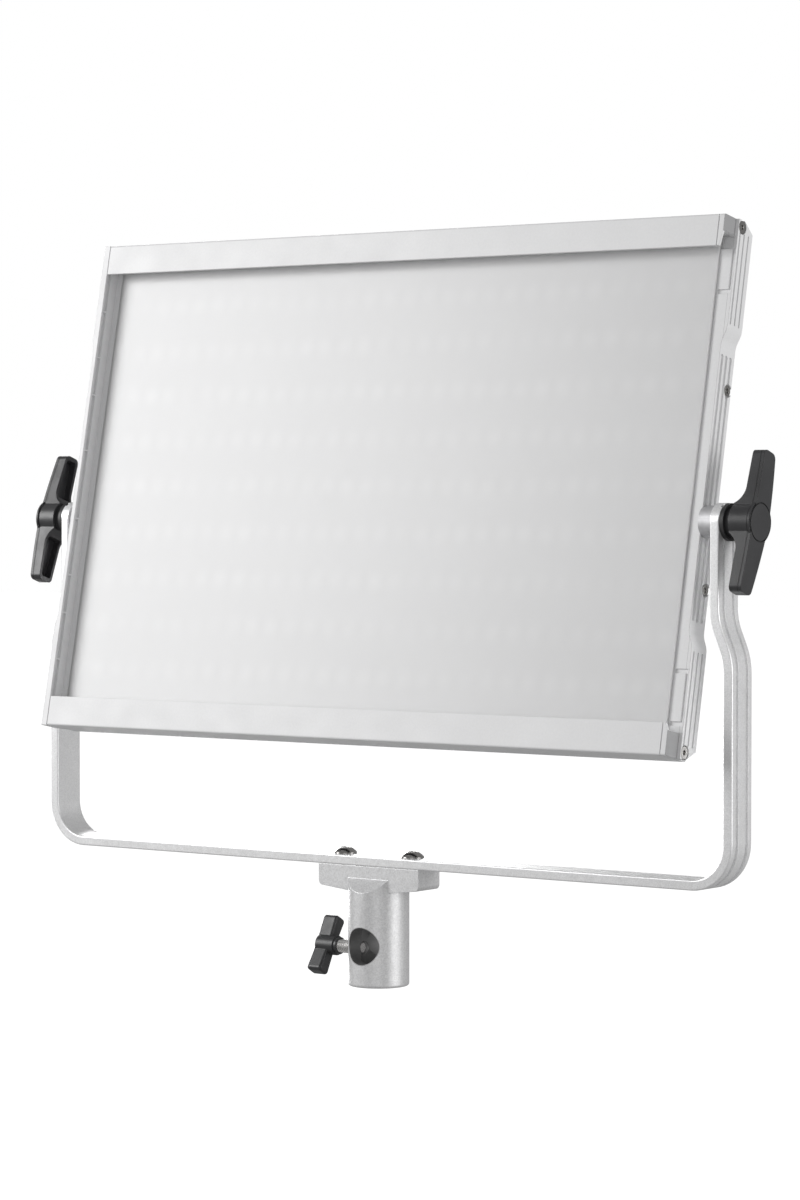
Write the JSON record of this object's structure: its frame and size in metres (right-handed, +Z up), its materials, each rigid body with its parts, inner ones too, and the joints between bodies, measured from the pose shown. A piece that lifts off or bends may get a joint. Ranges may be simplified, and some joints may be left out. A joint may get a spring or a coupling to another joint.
{
  "type": "led panel light",
  "caption": "Flat studio soft light with an edge-to-edge diffuser, tilting in a U-shaped yoke on a clamped stand receiver, with accessory slot and rear controls.",
  "frame": {"origin": "centre of the mouth of the receiver's vertical bore, where the stand's spigot enters from below", "axes": "+Z up along the receiver's bore, +X to the right of somebody facing the light and along the tilt axis, the light shines towards -Y"},
  "size_m": [0.3888, 0.0828, 0.3319],
  "materials": {
    "head_coat": "satin white-silver coat",
    "silver_coat": "fine-grained silver coat",
    "cast_silver": "silver coat on a casting",
    "screw_steel": "bright plated",
    "stud_steel": "zinc plated",
    "washer_nylon": "smooth black nylon",
    "handle_plastic": "fine-textured black moulding",
    "spacer_aluminium": "turned",
    "insert_brass": "machined",
    "opal_sheet": "opal acrylic",
    "white_solder_mask": "white board",
    "daylight_phosphor": "yellow phosphor",
    "tungsten_phosphor": "orange phosphor",
    "hidden_screw_steel": "black zinc",
    "sink_aluminium": "clear anodised extrusion",
    "standoff_brass": "plated",
    "green_board": "green solder mask",
    "coil_ferrite": "ferrite",
    "capacitor_sleeve": "shrunk sleeve",
    "transistor_epoxy": "moulded epoxy",
    "housing_plastic": "fine-textured dark grey moulding",
    "panel_plastic": "smooth black",
    "display_pane": "smoked window",
    "display_metal": "folded can",
    "encoder_metal": "plated can",
    "shaft_steel": "turned",
    "knob_plastic": "fluted black",
    "switch_plastic": "moulded",
    "button_plastic": "light grey moulding",
    "rocker_plastic": "glossy black",
    "inlet_shell": "moulded socket",
    "pin_plating": "gold plated"
  },
  "bodies": {
    "yoke": {"yoke": "silver_coat", "receiver": "cast_silver", "receiver_screws": "screw_steel"},
    "head": {"board_screws": "hidden_screw_steel", "bottom_bar": "head_coat", "control_board": "green_board", "control_panel": "panel_plastic", "cover_screws": "screw_steel", "daylight_leds": "daylight_phosphor", "dc_inlet": "inlet_shell", "diffuser": "opal_sheet", "display_module": "display_metal", "display_window": "display_pane", "driver_board": "green_board", "driver_capacitors": "capacitor_sleeve", "driver_coils": "coil_ferrite", "encoders": "encoder_metal", "heat_sink": "sink_aluminium", "housing_screws": "hidden_screw_steel", "inlet_pins": "pin_plating", "led_board": "white_solder_mask", "left_cover": "head_coat", "left_spacer": "spacer_aluminium", "panel_screws": "hidden_screw_steel", "pivot_inserts": "insert_brass", "power_transistors": "transistor_epoxy", "rear_housing": "housing_plastic", "right_cover": "head_coat", "right_spacer": "spacer_aluminium", "standoffs": "standoff_brass", "switch_bezel": "switch_plastic", "tactile_switches": "switch_plastic", "top_bar": "head_coat", "tungsten_leds": "tungsten_phosphor"},
    "clamp_screw": {"clamp_screw": "stud_steel"},
    "clamp_knob": {"clamp_knob": "handle_plastic"},
    "right_stud": {"right_stud": "stud_steel", "right_washer": "washer_nylon"},
    "right_handle": {"right_handle": "handle_plastic"},
    "left_stud": {"left_stud": "stud_steel", "left_washer": "washer_nylon"},
    "left_handle": {"left_handle": "handle_plastic"},
    "dimmer": {"dimmer_shaft": "shaft_steel", "dimmer_knob": "knob_plastic"},
    "colour": {"colour_shaft": "shaft_steel", "colour_knob": "knob_plastic"},
    "menu_button": {"menu_button": "button_plastic"},
    "back_button": {"back_button": "button_plastic"},
    "mode_button": {"mode_button": "button_plastic"},
    "power_rocker": {"power_rocker": "rocker_plastic"}
  },
  "joints": [
    {"name": "head_tilt", "type": "hinge", "parent": "yoke", "child": "head", "pos_m": [0, 0, 0.2044], "axis": [1, 0, 0], "continuous": true},
    {"name": "clamp_advance", "type": "slide", "parent": "yoke", "child": "clamp_screw", "axis": [1, 0, 0], "range_m": [-0.001, 0.003]},
    {"name": "clamp_turn", "type": "hinge", "parent": "clamp_screw", "child": "clamp_knob", "pos_m": [-0.0285, 0, 0.0158], "axis": [1, 0, 0], "range_deg": [-361, 1081]},
    {"name": "right_stud_advance", "type": "slide", "parent": "head", "child": "right_stud", "axis": [1, 0, 0], "range_m": [0, 0.0015]},
    {"name": "right_handle_turn", "type": "hinge", "parent": "right_stud", "child": "right_handle", "pos_m": [0.19, 0, 0.2044], "axis": [1, 0, 0], "range_deg": [0, 541]},
    {"name": "left_stud_advance", "type": "slide", "parent": "head", "child": "left_stud", "axis": [-1, 0, 0], "range_m": [0, 0.0015]},
    {"name": "left_handle_turn", "type": "hinge", "parent": "left_stud", "child": "left_handle", "pos_m": [-0.19, 0, 0.2044], "axis": [-1, 0, 0], "range_deg": [0, 541]},
    {"name": "dimmer_turn", "type": "hinge", "parent": "head", "child": "dimmer", "pos_m": [-0.004, 0.02031, 0.16756], "axis": [0, -0.9796, 0.2011], "continuous": true},
    {"name": "colour_turn", "type": "hinge", "parent": "head", "child": "colour", "pos_m": [-0.036, 0.02031, 0.16756], "axis": [0, -0.9796, 0.2011], "continuous": true},
    {"name": "menu_button_press", "type": "slide", "parent": "head", "child": "menu_button", "axis": [0, -0.9796, 0.2011], "range_m": [0, 0.0006], "stiffness_N_per_m": 400, "springref_m": -0.0008},
    {"name": "back_button_press", "type": "slide", "parent": "head", "child": "back_button", "axis": [0, -0.9796, 0.2011], "range_m": [0, 0.0006], "stiffness_N_per_m": 400, "springref_m": -0.0008},
    {"name": "mode_button_press", "type": "slide", "parent": "head", "child": "mode_button", "axis": [0, -0.9796, 0.2011], "range_m": [0, 0.0006], "stiffness_N_per_m": 400, "springref_m": -0.0008},
    {"name": "power_rocker_tip", "type": "hinge", "parent": "head", "child": "power_rocker", "pos_m": [-0.088, 0.02423, 0.16676], "axis": [-1, 0, 0], "range_deg": [0, 21]}
  ],
  "couplings": [
    {"joint": "clamp_turn", "follows": "clamp_advance", "rad_per_m": 6283.2},
    {"joint": "right_handle_turn", "follows": "right_stud_advance", "rad_per_m": 6283.2},
    {"joint": "left_handle_turn", "follows": "left_stud_advance", "rad_per_m": 6283.2}
  ]
}
